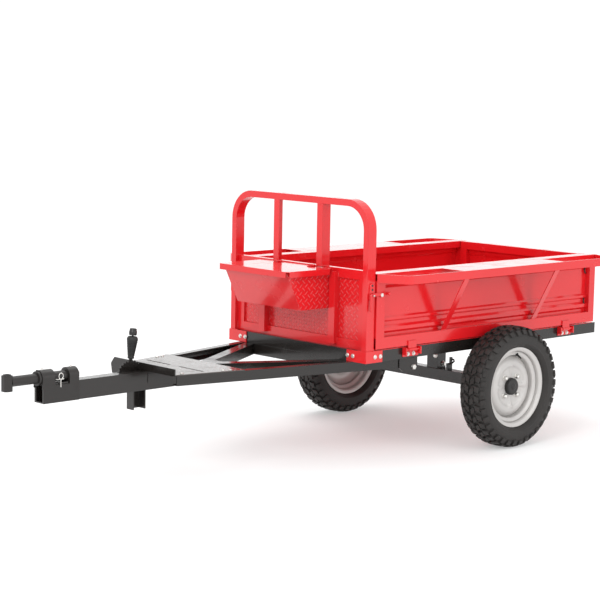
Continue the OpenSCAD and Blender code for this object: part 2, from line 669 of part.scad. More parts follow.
rail_l();
rail_r();
crossmembers();
crossmember_lower();
bed_floor();
axle_beam();
axle_stands();
axle_hangers();
tyre_l();
tyre_r();
rim_l();
rim_r();
hub_l();
hub_r();
lug_nuts_l();
lug_nuts_r();
guard_hoop();
guard_bars();
headboard_frame();
headboard_panel();
toolbox_supports();
foot_plates();
frame_bolts();
toolbox_body();
toolbox_lid();
toolbox_hinges();
gate_frame_l();
gate_frame_r();
gate_panel_l();
gate_panel_r();
shelf_rail_l();
shelf_rail_r();
shelf_plate_l();
shelf_plate_r();
hinge_brackets();
tailgate_frame();
tailgate_panel();
tail_hinges();
latch_fl();
latch_fr();
latch_rl();
latch_rr();
drawbar_beam();
drawbar_arm_l();
drawbar_arm_r();
arm_brackets();
drawbar_braces();
foot_platform();
toe_board();
stand_foot();
hitch_housing();
hitch_shaft();
hitch_collars();
hitch_head();
swivel_clip();
brake_quadrant();
brake_lever();
brake_grip();
brake_button();
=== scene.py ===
"""Looks of a two-wheel tow behind cart: paint, tyres, rims, bolts, welds and fittings round the CAD frame."""

import json
import math
import random

import bmesh
import bpy
from mathutils import Matrix, Vector


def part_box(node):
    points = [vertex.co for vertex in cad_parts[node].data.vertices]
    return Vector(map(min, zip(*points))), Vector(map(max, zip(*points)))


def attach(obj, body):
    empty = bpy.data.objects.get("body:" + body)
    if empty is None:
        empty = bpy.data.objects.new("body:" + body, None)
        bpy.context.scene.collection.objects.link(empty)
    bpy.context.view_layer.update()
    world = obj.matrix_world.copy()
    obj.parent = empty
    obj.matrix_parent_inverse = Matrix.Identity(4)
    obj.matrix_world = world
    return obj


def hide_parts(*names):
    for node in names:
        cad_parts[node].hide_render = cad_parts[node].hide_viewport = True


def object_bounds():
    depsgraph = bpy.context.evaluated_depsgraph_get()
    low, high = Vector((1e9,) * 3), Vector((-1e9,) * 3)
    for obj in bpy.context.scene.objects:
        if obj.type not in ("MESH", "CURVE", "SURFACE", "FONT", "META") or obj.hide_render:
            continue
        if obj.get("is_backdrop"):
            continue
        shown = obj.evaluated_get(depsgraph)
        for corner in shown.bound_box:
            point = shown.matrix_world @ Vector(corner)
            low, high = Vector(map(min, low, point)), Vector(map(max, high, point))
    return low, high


bl_info = {
    "name": "Tow Behind Cart",
    "version": (1, 0, 0),
    "blender": (4, 5, 0),
    "location": "View3D > Sidebar > Cart",
    "description": "Finishes a tow behind cart: paint, tyres, pressed rims, bolts, weld beads and fittings",
    "category": "Object",
}

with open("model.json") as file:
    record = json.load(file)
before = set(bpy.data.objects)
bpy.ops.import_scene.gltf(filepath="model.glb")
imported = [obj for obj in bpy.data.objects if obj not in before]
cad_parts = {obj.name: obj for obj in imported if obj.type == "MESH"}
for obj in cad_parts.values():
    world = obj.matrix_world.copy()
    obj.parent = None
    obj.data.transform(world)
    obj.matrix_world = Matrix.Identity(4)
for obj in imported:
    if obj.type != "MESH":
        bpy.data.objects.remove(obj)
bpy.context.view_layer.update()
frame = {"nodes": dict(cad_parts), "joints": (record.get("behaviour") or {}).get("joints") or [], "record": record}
NODES = frame["nodes"]


def span(node):
    """Lowest and highest corner of a CAD node, as plain tuples."""
    low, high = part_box(node)
    return tuple(low), tuple(high)


def frame_joint(name):
    """A joint of the frame by its name."""
    return next(j for j in frame["joints"] if j["name"] == name)


TYRE_LOW, TYRE_HIGH = span("tyre_l")
RIM_LOW, RIM_HIGH = span("rim_l")
AXLE_X = (TYRE_LOW[0] + TYRE_HIGH[0]) / 2
AXLE_Z = (TYRE_LOW[2] + TYRE_HIGH[2]) / 2
WHEEL_Y = (TYRE_LOW[1] + TYRE_HIGH[1]) / 2
TYRE_R = (TYRE_HIGH[2] - TYRE_LOW[2]) / 2
TYRE_HALF = (TYRE_HIGH[1] - TYRE_LOW[1]) / 2
FLANGE_R = (RIM_HIGH[2] - RIM_LOW[2]) / 2
SIDES = ((1, "l"), (-1, "r"))
GATE_FACE_Y = 0.458
CATCH_FACE_Y = 0.4645
HOOK_Y = 0.434


# ---------------------------------------------------------------- settings


def length(name, text, value):
    return bpy.props.FloatProperty(name=name, description=text, default=value, min=0.0, unit="LENGTH",
                                   precision=4)


def colour(name, text, value):
    return bpy.props.FloatVectorProperty(name=name, description=text, default=value, size=3, min=0.0,
                                         max=1.0, subtype="COLOR")


class CartPaintSettings(bpy.types.PropertyGroup):
    red: colour("Body red", "Gloss enamel on the bed, the gates, the backrest and the toolbox",
                (0.66, 0.009, 0.013))
    black: colour("Chassis black", "Gloss enamel on the chassis and the drawbar", (0.011, 0.0090, 0.0080))
    silver: colour("Wheel silver", "Lacquer on the pressed rims", (0.53, 0.515, 0.50))
    rubber: colour("Tyre rubber", "Tyre compound", (0.019, 0.0172, 0.0162))
    edge_radius: length("Edge radius", "Rounding that catches the light along painted edges", 0.0022)
    peel: length("Orange peel", "Depth of the fine waviness in the paint", 0.00003)
    lug_pitch: length("Tread plate pitch", "Distance between lugs on the tread plate", 0.033)
    lug_height: length("Tread plate lugs", "Height of the lugs on the tread plate", 0.0026)


class CartTyreSettings(bpy.types.PropertyGroup):
    tread_depth: length("Tread depth", "Depth of the grooves between the tread blocks", 0.0115)
    pitches: bpy.props.IntProperty(name="Pitches", description="Tread blocks in one row round the tyre",
                                   default=38, min=20, max=80)
    lobe_height: length("Lobe height", "Height of the four pressed lobes on the rim disc", 0.007)


class CartDetailSettings(bpy.types.PropertyGroup):
    bead_radius: length("Weld bead", "Radius of the weld beads", 0.0028)
    grip_ribs: bpy.props.IntProperty(name="Grip ribs", description="Rings moulded in the brake grip",
                                     default=9, min=3, max=20)


class CartStudioSettings(bpy.types.PropertyGroup):
    floor: colour("Floor", "Colour of the plain floor", (0.66, 0.66, 0.66))
    sky: bpy.props.FloatProperty(name="Room light", description="Strength of the even light all round",
                                 default=1.06, min=0.0, max=5.0)
    strip: bpy.props.FloatProperty(name="Back light",
        description="Power of the long light low behind the cart", default=60.0, min=0.0, unit="POWER")
    key: bpy.props.FloatProperty(name="Key light", description="Power of the large light over the drawbar",
                                 default=130.0, min=0.0, unit="POWER")


# ---------------------------------------------------------------- shader maths


class Value:
    """One socket of a material. Arithmetic on it adds Math nodes."""

    def __init__(self, finish, socket):
        self.finish = finish
        self.socket = socket

    def op(self, operation, *parts):
        return self.finish.node("ShaderNodeMath", {"operation": operation}, dict(enumerate(parts)))

    def __add__(self, other):
        return self.op("ADD", self, other)

    def __sub__(self, other):
        return self.op("SUBTRACT", self, other)

    def __rsub__(self, other):
        return self.op("SUBTRACT", other, self)

    def __mul__(self, other):
        return self.op("MULTIPLY", self, other)

    def __truediv__(self, other):
        return self.op("DIVIDE", self, other)

    def __neg__(self):
        return self * -1.0

    __radd__ = __add__
    __rmul__ = __mul__

    def fract(self):
        return self.op("FRACT", self)

    def size(self):
        return self.op("ABSOLUTE", self)

    def above(self, edge):
        return self.op("GREATER_THAN", self, edge)

    def highest(self, other):
        return self.op("MAXIMUM", self, other)

    def within(self):
        return self.op("MINIMUM", self.op("MAXIMUM", self, 0.0), 1.0)


class Finish:
    """A Principled material built from expressions."""

    def __init__(self, name, fixed):
        self.material = bpy.data.materials.new(name)
        self.material.use_nodes = True
        self.tree = self.material.node_tree
        self.shader = next(n for n in self.tree.nodes if n.type == "BSDF_PRINCIPLED")
        for socket, value in fixed.items():
            self.shader.inputs[socket].default_value = value
        self.point = self.node("ShaderNodeTexCoord", out="Object")

    def node(self, kind, settings=None, sockets=None, out=0):
        """Adds any node: its settings first, then the values or links of its sockets."""
        made = self.tree.nodes.new(kind)
        for key, value in (settings or {}).items():
            if key == "stops":
                ramp = made.color_ramp
                while len(ramp.elements) < len(value):
                    ramp.elements.new(0.5)
                for element, (place, shade) in zip(ramp.elements, value):
                    element.position = place
                    element.color = (shade, shade, shade, 1.0) if isinstance(shade, float) else (*shade, 1.0)
            else:
                setattr(made, key, value)
        for key, value in (sockets or {}).items():
            self.join(value, made.inputs[key])
        return Value(self, made.outputs[out])

    def join(self, value, socket):
        if isinstance(value, Value):
            self.tree.links.new(value.socket, socket)
        else:
            socket.default_value = value

    def feed(self, socket, value):
        self.join(value, self.shader.inputs[socket])
        return self

    def axes(self):
        return [self.node("ShaderNodeSeparateXYZ", sockets={"Vector": self.point}, out=k) for k in range(3)]

    def noise(self, scale, detail=2.0, stretch=None):
        place = self.point
        if stretch:
            place = self.node("ShaderNodeVectorMath", {"operation": "MULTIPLY"}, {0: self.point, 1: stretch})
        return self.node("ShaderNodeTexNoise", sockets={"Vector": place, "Scale": scale, "Detail": detail},
                         out=0)

    def ramp(self, value, *stops):
        return self.node("ShaderNodeValToRGB", {"stops": stops}, {"Fac": value})

    def mix(self, mask, first, second):
        """Blends two colours by a mask."""
        settings = {"data_type": "RGBA"}
        return self.node("ShaderNodeMix", settings, {0: mask, 6: first, 7: second}, out=2)

    def tint(self, colour_value, amount, mask):
        dark = [c * (1 - amount) for c in colour_value] + [1.0]
        light = [min(1.0, c * (1 + amount)) for c in colour_value] + [1.0]
        return self.mix(mask, dark, light)

    def bump(self, height, distance, radius=0.0):
        """Height in 0 to 1 times distance, over edges rounded by radius."""
        sockets = {"Height": height, "Distance": distance, "Strength": 1.0}
        if radius:
            sockets["Normal"] = self.node("ShaderNodeBevel", {"samples": 4}, {"Radius": radius})
        return self.feed("Normal", self.node("ShaderNodeBump", sockets=sockets))


def tread_lugs(u, v, pitch):
    """Crossed lens-shaped lugs of a tread plate, 0 to 1, from two coordinates in metres."""

    def lug(shift, turn):
        a = (u / pitch + shift).fract() - 0.5
        b = (v / pitch + shift).fract() - 0.5
        along = (a + b * turn) * (0.7071 / 0.40)
        across = (b - a * turn) * (0.7071 / 0.11)
        return (1.0 - along * along - across * across).within()

    return (lug(0.0, 1.0).highest(lug(0.5, -1.0)) * 2.2).within()


def enamel(name, base, roughness, plate=None, coat=0.35):
    """Gloss enamel with faint mottling, orange peel, dust and light-catching edges.

    plate(finish) gives the mask of a tread plate's lugs, which are raised and carry a painted highlight: a paler
    colour for the light their edges catch."""
    paint = bpy.context.scene.cart_paint
    f = Finish(name, {"Specular IOR Level": 0.5, "Coat Roughness": 0.06, "Coat Weight": coat})
    cloud = f.noise(2.3, 4.0)
    speck = f.noise(140.0, 3.0)
    dust = (f.noise(11.0, 6.0) - 0.52).within() * 1.6
    shade = f.tint(base, 0.10, cloud * 0.75 + speck * 0.25)
    f.feed("Roughness", cloud * 0.10 + dust * 0.35 + roughness)
    peel = f.noise(430.0, 1.0)
    if plate:
        lugs = plate(f)
        # painted highlight: the lug mask mixes the colour toward a paler red or grey, standing in for light caught
        # by the lug edges
        shade = f.mix(lugs * 0.7, shade, [min(1.0, c + 0.09) for c in base] + [1.0])
        f.bump(lugs + peel * (paint.peel / paint.lug_height), paint.lug_height, paint.edge_radius)
    else:
        f.bump(peel, paint.peel, paint.edge_radius)
    f.feed("Base Color", shade)
    return f.material


def plated(name, base, roughness):
    """Zinc plate: bright, slightly mottled, with fine turning marks."""
    f = Finish(name, {"Metallic": 1.0})
    mottle = f.noise(60.0, 4.0)
    f.feed("Base Color", f.tint(base, 0.14, mottle))
    f.feed("Roughness", mottle * 0.22 + roughness)
    f.bump(f.noise(900.0, 2.0), 0.00004, 0.0007)
    return f.material


def wheel_lacquer(name, base):
    """Silver lacquer with metallic flake and faint cloudy mottling."""
    f = Finish(name, {"Metallic": 0.30, "Coat Weight": 0.15, "Coat Roughness": 0.15})
    flake = f.noise(1500.0, 1.0)
    cloud = f.noise(9.0, 5.0)
    f.feed("Base Color", f.tint(base, 0.16, flake * 0.35 + cloud * 0.65))
    f.feed("Roughness", cloud * 0.16 + flake * 0.08 + 0.36)
    f.bump(f.noise(260.0, 2.0), 0.00006, 0.0012)
    return f.material


def tyre_rubber(name, base):
    """Tyre compound: matt, greyer where dusty, with fine grain."""
    f = Finish(name, {"Specular IOR Level": 0.34})
    grain = f.noise(700.0, 3.0)
    dust = f.ramp(f.noise(14.0, 6.0), (0.35, 0.0), (0.75, 1.0))
    worn = [c * 2.1 for c in base] + [1.0]
    f.feed("Base Color", f.mix(dust * 0.55 + grain * 0.2, [*base, 1.0], worn))
    f.feed("Roughness", dust * 0.18 + grain * 0.12 + 0.46)
    f.bump(grain, 0.00025)
    return f.material


def moulded(name, base, roughness, grain_scale=900.0):
    """Moulded plastic or rubber with a fine leathery grain."""
    f = Finish(name, {"Specular IOR Level": 0.45})
    grain = f.noise(grain_scale, 3.0)
    cloud = f.noise(25.0, 3.0)
    f.feed("Base Color", f.tint(base, 0.25, cloud))
    f.feed("Roughness", grain * 0.15 + cloud * 0.10 + roughness)
    f.bump(grain, 0.00012, 0.0008)
    return f.material


def backdrop_paper(name, base):
    f = Finish(name, {"Roughness": 0.9, "Specular IOR Level": 0.1, "Emission Color": (1.0, 1.0, 1.0, 1.0),
                      "Emission Strength": 0.34})
    f.feed("Base Color", f.tint(base, 0.01, f.noise(0.8, 2.0)))
    return f.material


def materials():
    """All finishes, made once and kept by name."""
    if "Cart red enamel" in bpy.data.materials:
        return {m.name: m for m in bpy.data.materials}
    paint = bpy.context.scene.cart_paint
    red, black = tuple(paint.red), tuple(paint.black)
    pitch = paint.lug_pitch
    box_high = span("toolbox_body")[1]

    def board(f):
        y, z = f.axes()[1:]
        return tread_lugs(y, z, pitch)

    def box_ends(f):
        x, y, z = f.axes()
        ends = y.size().above(box_high[1] - 0.001)
        return tread_lugs(x, z, pitch) * ends

    def footrest(f):
        x, y, z = f.axes()
        return tread_lugs(x, y, pitch) * z.above(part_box("foot_platform")[1][2] - 0.0005)

    enamel("Cart red enamel", red, 0.14)
    enamel("Cart red tread plate", red, 0.20, board)
    enamel("Cart red toolbox", red, 0.17, box_ends)
    enamel("Cart black enamel", black, 0.16, coat=0.10)
    # painted reflection: the footrest's black is five times paler than the chassis black, standing in for the grey
    # sheen its grazing reflections give
    enamel("Cart black tread plate", [c * 5.0 for c in black], 0.22, footrest, coat=0.4)
    enamel("Cart black casting", black, 0.40, coat=0.0)
    wheel_lacquer("Cart silver lacquer", tuple(paint.silver))
    plated("Cart zinc plate", (0.74, 0.73, 0.70), 0.20)
    tyre_rubber("Cart tyre rubber", tuple(paint.rubber))
    moulded("Cart grip rubber", (0.011, 0.011, 0.011), 0.50)
    moulded("Cart black plastic", (0.012, 0.011, 0.011), 0.24)
    return {m.name: m for m in bpy.data.materials}


SLOT_FINISH = {
    "red_paint": "Cart red enamel",
    "black_paint": "Cart black enamel",
    "wheel_silver": "Cart silver lacquer",
    "zinc": "Cart zinc plate",
    "tyre": "Cart tyre rubber",
    "grip": "Cart grip rubber",
    "button": "Cart black plastic",
}
NODE_FINISH = {
    "headboard_panel": "Cart red tread plate",
    "toolbox_body": "Cart red toolbox",
    "foot_platform": "Cart black tread plate",
    "hitch_housing": "Cart black casting",
    "hitch_head": "Cart black casting",
    "hitch_shaft": "Cart black casting",
    "hitch_collars": "Cart black casting",
    "hub_l": "Cart black plastic",
    "hub_r": "Cart black plastic",
}


# ---------------------------------------------------------------- mesh helpers


def keep(name, bm, finish, body, crease=35.0, replaces=()):
    """Turns a bmesh into a named piece that rides on a body."""
    bmesh.ops.recalc_face_normals(bm, faces=bm.faces)
    mesh = bpy.data.meshes.new(name)
    bm.to_mesh(mesh)
    bm.free()
    for polygon in mesh.polygons:
        polygon.use_smooth = True
    mesh.set_sharp_from_angle(angle=math.radians(crease))
    obj = bpy.data.objects.new(name, mesh)
    bpy.context.scene.collection.objects.link(obj)
    mesh.materials.append(materials()[finish])
    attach(obj, body)
    if replaces:
        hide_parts(*replaces)
    return obj


def skin(bm, rings, close_ring=True, cap=False):
    """Joins successive rings of points with quads."""
    made = [[bm.verts.new(p) for p in ring] for ring in rings]
    count = len(made[0])
    for low, high in zip(made, made[1:]):
        for k in range(count if close_ring else count - 1):
            n = (k + 1) % count
            bm.faces.new((low[k], low[n], high[n], high[k]))
    if cap:
        bm.faces.new(made[0])
        bm.faces.new(list(reversed(made[-1])))
    return made


def frame_of(direction):
    """Two unit vectors square to a direction."""
    d = Vector(direction).normalized()
    side = d.cross(Vector((0, 0, 1)))
    if side.length < 1e-3:
        side = d.cross(Vector((1, 0, 0)))
    side.normalize()
    return side, side.cross(d)


def turned(bm, base, direction, profile, count=32):
    """A turned shape: profile holds (distance along direction, radius) pairs, closed at both ends."""
    side, up = frame_of(direction)
    d = Vector(direction).normalized()
    rings = []
    for along, radius in profile:
        centre = Vector(base) + d * along
        rings.append([centre + (side * math.cos(t) + up * math.sin(t)) * max(radius, 1e-5)
                      for t in (2 * math.pi * k / count for k in range(count))])
    skin(bm, rings, cap=True)


def rod(bm, points, radius, count=10):
    """A round rod swept along points with flat ends."""
    points = [Vector(p) for p in points]
    rings = []
    side, up = frame_of(points[1] - points[0])
    for k, p in enumerate(points):
        d = (points[min(k + 1, len(points) - 1)] - points[max(k - 1, 0)]).normalized()
        side = (side - d * side.dot(d)).normalized()
        up = d.cross(side)
        rings.append([p + (side * math.cos(t) + up * math.sin(t)) * radius
                      for t in (2 * math.pi * n / count for n in range(count))])
    skin(bm, rings, cap=True)


def block(bm, low, high, edge=0.0):
    """A box with chamfered edges."""
    centre = (Vector(low) + Vector(high)) / 2
    size = Vector(high) - Vector(low)
    made = bmesh.ops.create_cube(bm, size=1.0,
                                 matrix=Matrix.Translation(centre) @ Matrix.Diagonal((*size, 1.0)))
    if edge:
        edges = {e for v in made["verts"] for e in v.link_edges}
        bmesh.ops.bevel(bm, geom=list(edges), offset=edge, segments=2, affect="EDGES", clamp_overlap=True)


def bead(bm, start, end, radius, dice):
    """A weld bead: a rippled rod from start to end."""
    start, end = Vector(start), Vector(end)
    run = end - start
    steps = max(4, int(run.length / 0.0022))
    side, up = frame_of(run)
    rings = []
    for k in range(steps + 1):
        t = k / steps
        fat = radius * (0.86 + 0.16 * math.cos(k * 1.9) + 0.08 * (dice.random() - 0.5))
        if k in (0, steps):
            fat *= 0.45
        centre = start + run * t
        rings.append([centre + (side * math.cos(a) + up * math.sin(a)) * fat
                      for a in (math.pi * n / 4 for n in range(8))])
    skin(bm, rings, cap=True)


def islands(node):
    """Bounding boxes of the separate solids in a CAD node."""
    mesh = NODES[node].data
    parent = {}
    place = {}

    def find(k):
        while parent[k] != k:
            parent[k] = parent[parent[k]]
            k = parent[k]
        return k

    key = []
    for v in mesh.vertices:
        spot = tuple(round(c, 5) for c in v.co)
        place.setdefault(spot, len(place))
        key.append(place[spot])
    for k in range(len(place)):
        parent[k] = k
    for edge in mesh.edges:
        a, b = (find(key[v]) for v in edge.vertices)
        parent[a] = b
    boxes = {}
    for v, k in zip(mesh.vertices, key):
        low, high = boxes.setdefault(find(k), ([9.0] * 3, [-9.0] * 3))
        for n in range(3):
            low[n] = min(low[n], v.co[n])
            high[n] = max(high[n], v.co[n])
    return sorted((tuple(low), tuple(high)) for low, high in boxes.values())


# ---------------------------------------------------------------- wheels


def carcass_line():
    """Half section of the tyre under the tread, crown to bead: (radius, half width) in metres."""
    top = TYRE_R - bpy.context.scene.cart_tyre.tread_depth
    wide = TYRE_HALF
    flange = FLANGE_R
    return [
        (top, 0.0), (top - 0.0004, wide * 0.30), (top - 0.0022, wide * 0.58), (top - 0.007, wide * 0.74),
            (top - 0.0165, wide * 0.86),
        (top - 0.030, wide * 0.945), (top - 0.045, wide * 0.985), (flange + 0.030, wide * 0.985),
            (flange + 0.0215, wide * 0.965),
        (flange + 0.0195, wide * 0.975), (flange + 0.0165, wide * 0.95), (flange + 0.008, wide * 0.83),
            (flange + 0.0012, wide * 0.68),
        (flange + 0.0006, wide * 0.56), (flange - 0.010, wide * 0.52), (flange - 0.018, wide * 0.50)]


def on_crown(line, arc, height):
    """Point (radius, width) at an arc length from the crown's middle, raised square to the surface."""
    sign = -1.0 if arc < 0 else 1.0
    left = abs(arc)
    for (r0, w0), (r1, w1) in zip(line, line[1:]):
        step = math.hypot(r1 - r0, w1 - w0)
        if left <= step:
            t = left / step
            nr, nw = (w1 - w0) / step, (r0 - r1) / step
            return r0 + (r1 - r0) * t + nr * height, sign * (w0 + (w1 - w0) * t + nw * height)
        left -= step
    return line[-1][0], sign * line[-1][1]


def tread_block(bm, line, centre, turn, size, arcs, skew, depth):
    """One tread block: centre angle, half length round the tyre, arc range across it, skew and depth."""
    radius = line[0][0]
    across = 4 if abs(arcs[1] - arcs[0]) > 0.024 else 2
    levels = ((depth, -0.0011), (depth - 0.0012, 0.0), (-0.0015, 0.0012))
    rings = []
    for height, grow in levels:
        ring = []
        low, high = arcs[0] - grow, arcs[1] + grow
        half = size + grow
        path = [(-half, low + (high - low) * k / across) for k in range(across + 1)]
        path += [(half, low + (high - low) * k / across) for k in range(across, -1, -1)]
        for along, arc in path:
            r, w = on_crown(line, arc, height)
            angle = turn + (along + skew * (arc - arcs[0])) / radius
            ring.append(centre + Vector((r * math.cos(angle), w, r * math.sin(angle))))
        rings.append(ring)
    made = skin(bm, rings)
    top = made[0]
    count = across + 1
    for k in range(across):
        bm.faces.new((top[k], top[k + 1], top[2 * count - 2 - k], top[2 * count - 1 - k]))


def build_tyre(side, tag):
    tyre = bpy.context.scene.cart_tyre
    centre = Vector((AXLE_X, side * WHEEL_Y, AXLE_Z))
    line = carcass_line()
    bm = bmesh.new()
    whole = [(r, -w) for r, w in reversed(line[1:])] + line
    turns = 96
    rings = [[centre + Vector((r * math.cos(a), w, r * math.sin(a))) for r, w in whole]
             for a in (2 * math.pi * k / turns for k in range(turns))]
    skin(bm, rings + [rings[0]], close_ring=False)
    bmesh.ops.remove_doubles(bm, verts=bm.verts, dist=1e-6)
    pitch = 2 * math.pi / tyre.pitches
    depth = tyre.tread_depth
    wide = TYRE_HALF
    for k in range(tyre.pitches):
        turn = k * pitch
        for hand in (1, -1):
            shift = turn + (0.5 * pitch if hand < 0 else 0.0)
            reach = wide * (1.10 if k % 2 else 1.02)
            for low, high, size, skew, step in (
                (0.0035, wide * 0.34, 0.0135, 0.55, 0.0),
                (wide * 0.40, wide * 0.70, 0.0125, -0.35, 0.5 * pitch),
                (wide * 0.76, reach, 0.0122, 0.10, 0.0)):
                arcs = (hand * low, hand * high) if hand > 0 else (-high, -low)
                tread_block(bm, line, centre, shift + step, size, arcs, skew * hand,
                            depth if low < wide * 0.7 else depth * 0.8)
    for hand in (1, -1):
        for k in range(72):
            angle = 2 * math.pi * k / 72
            for r in (FLANGE_R + 0.0375,):
                a, b = angle - 0.010, angle + 0.010
                w = hand * (wide * 0.985)
                corners = [(r - 0.004, a), (r - 0.004, b), (r + 0.005, b), (r + 0.005, a)]
                low = [centre + Vector((q * math.cos(t), w - hand * 0.001, q * math.sin(t))) for q,
                       t in corners]
                mid = centre + Vector(((r + 0.0005) * math.cos(angle), w + hand * 0.0008,
                                       (r + 0.0005) * math.sin(angle)))
                verts = [bm.verts.new(p) for p in low] + [bm.verts.new(mid)]
                for n in range(4):
                    bm.faces.new((verts[n], verts[(n + 1) % 4], verts[4]))
    return keep(f"tyre_tread_{tag}", bm, "Cart tyre rubber", f"wheel_{tag}", 32.0, (f"tyre_{tag}",))


def rounded(points, passes=2):
    """Softens the corners of an open profile."""
    for _ in range(passes):
        soft = [points[0]]
        for a, b in zip(points, points[1:]):
            soft.append((a[0] * 0.8 + b[0] * 0.2, a[1] * 0.8 + b[1] * 0.2))
            soft.append((a[0] * 0.2 + b[0] * 0.8, a[1] * 0.2 + b[1] * 0.8))
        soft.append(points[-1])
        points = soft
    return points


def build_rim(side, tag):
    """The pressed rim: a lipped barrel in two wells and a dished disc with four raised lobes."""
    tyre = bpy.context.scene.cart_tyre
    centre = Vector((AXLE_X, side * WHEEL_Y, AXLE_Z))
    f = FLANGE_R
    face = RIM_HIGH[1] - WHEEL_Y
    hub_r = 0.0385
    disc = [(hub_r, 0.0085), (0.084, 0.0085), (0.091, 0.011), (0.098, 0.0165), (0.106, 0.018),
            (0.117, 0.0175), (0.127, 0.013),
            (0.137, 0.004), (f - 0.0455, -0.004)]
    barrel = [(f - 0.0455, -0.006), (f - 0.0450, 0.008), (f - 0.0425, 0.003), (f - 0.0420, 0.012),
              (f - 0.040, 0.020), (f - 0.029, 0.0245), (f - 0.0235, 0.0265),
              (f - 0.0225, 0.0215), (f - 0.0212, 0.0215), (f - 0.0208, 0.030), (f - 0.0205, face - 0.009),
              (f - 0.014, face - 0.0035), (f - 0.006, face - 0.0005), (f - 0.001, face), (f, face - 0.002),
              (f - 0.001, face - 0.0045), (f - 0.010, face - 0.0065), (f - 0.018, face - 0.011)]
    back = [(f - 0.0435, 0.008), (f - 0.043, -0.014), (f - 0.024, -0.023), (f - 0.0225, -face + 0.008),
            (f - 0.012, -face + 0.002),
            (f - 0.001, -face), (f, -face + 0.002), (f - 0.012, -face + 0.0055), (f - 0.020, -face + 0.012)]
    bm = bmesh.new()
    turns = 128

    def sweep(profile, lobes=False):
        profile = rounded(profile)
        rings = []
        for k in range(turns):
            a = 2 * math.pi * k / turns
            ring = []
            for r, w in profile:
                if lobes:
                    off = min(abs((a - q * math.pi / 2 + math.pi) % (2 * math.pi) - math.pi)
                              for q in range(4))
                    across = off * r
                    wide = 0.007 + max(0.0, (r - 0.055)) * 0.22
                    reach = max(0.0, 1 - abs(r - 0.080) / 0.030)
                    lift = tyre.lobe_height * min(1.0, reach * 2.2) * max(0.0, 1 - (across / wide) ** 2)
                    w += lift * (1.0 if r < 0.1 else 0.6)
                ring.append(centre + Vector((r * math.cos(a), side * w, r * math.sin(a))))
            rings.append(ring)
        skin(bm, rings + [rings[0]], close_ring=False)

    sweep(disc, True)
    sweep([(r, w - 0.004) for r, w in disc])
    sweep(barrel)
    sweep(back)
    bmesh.ops.remove_doubles(bm, verts=bm.verts, dist=1e-6)
    return keep(f"rim_pressing_{tag}", bm, "Cart silver lacquer", f"wheel_{tag}", 50.0, (f"rim_{tag}",))


def build_wheel_fittings(side, tag):
    """Valve, hub cap and wheel nuts."""
    centre = Vector((AXLE_X, side * WHEEL_Y, AXLE_Z))
    out = Vector((0, side, 0))
    angle = math.radians(100)
    ray = Vector((math.cos(angle), 0, math.sin(angle)))
    bm = bmesh.new()
    foot = centre + ray * (FLANGE_R - 0.036) + out * 0.018
    lean = (out * 0.9 - ray * 0.45).normalized()
    turned(bm, foot, lean, [(0, 0.0085), (0.004, 0.0085), (0.007, 0.0052), (0.024, 0.0042), (0.026, 0.0032),
                            (0.034, 0.0032), (0.036, 0.0024)], 18)
    keep(f"valve_{tag}", bm, "Cart grip rubber", f"wheel_{tag}")
    hub_face = (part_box(f"hub_{tag}")[1][1] if side > 0 else -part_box(f"hub_{tag}")[0][1]) - WHEEL_Y
    bm = bmesh.new()
    turned(bm, centre + out * (hub_face - 0.021), out,
           [(0, 0.0396), (0.003, 0.0404), (0.006, 0.0404), (0.009, 0.0392), (0.014, 0.0388),
            (0.018, 0.0375), (0.0212, 0.0345),
            (0.0225, 0.0285), (0.0228, 0.016), (0.0245, 0.0150), (0.0262, 0.0115), (0.0268, 0.0)], 48)
    for k in range(12):
        a = 2 * math.pi * k / 12
        spot = centre + out * (hub_face - 0.013) + Vector((math.cos(a), 0, math.sin(a))) * 0.0388
        turned(bm, spot, out, [(0, 0.0022), (0.007, 0.0018)], 8)
    keep(f"hub_cap_{tag}", bm, "Cart black plastic", f"wheel_{tag}")
    bm = bmesh.new()
    for low, high in islands(f"lug_nuts_{tag}"):
        cx, cz = (low[0] + high[0]) / 2, (low[2] + high[2]) / 2
        base = Vector((cx, side * (WHEEL_Y + 0.0083), cz))
        turned(bm, base, out, [(0, 0.0128), (0.0016, 0.0128), (0.0022, 0.0115)], 24)
        turned(bm, base + out * 0.0015, out, [(0, 0.0108), (0.0008, 0.0116), (0.0100, 0.0116),
                                              (0.0115, 0.0104)], 6)
        turned(bm, base + out * 0.0125, out, [(0, 0.0098), (0.003, 0.0088), (0.0055, 0.0062),
                                              (0.0066, 0.0)], 20)
    keep(f"wheel_nuts_{tag}", bm, "Cart zinc plate", f"wheel_{tag}", 40.0, (f"lug_nuts_{tag}",))


# ---------------------------------------------------------------- fittings


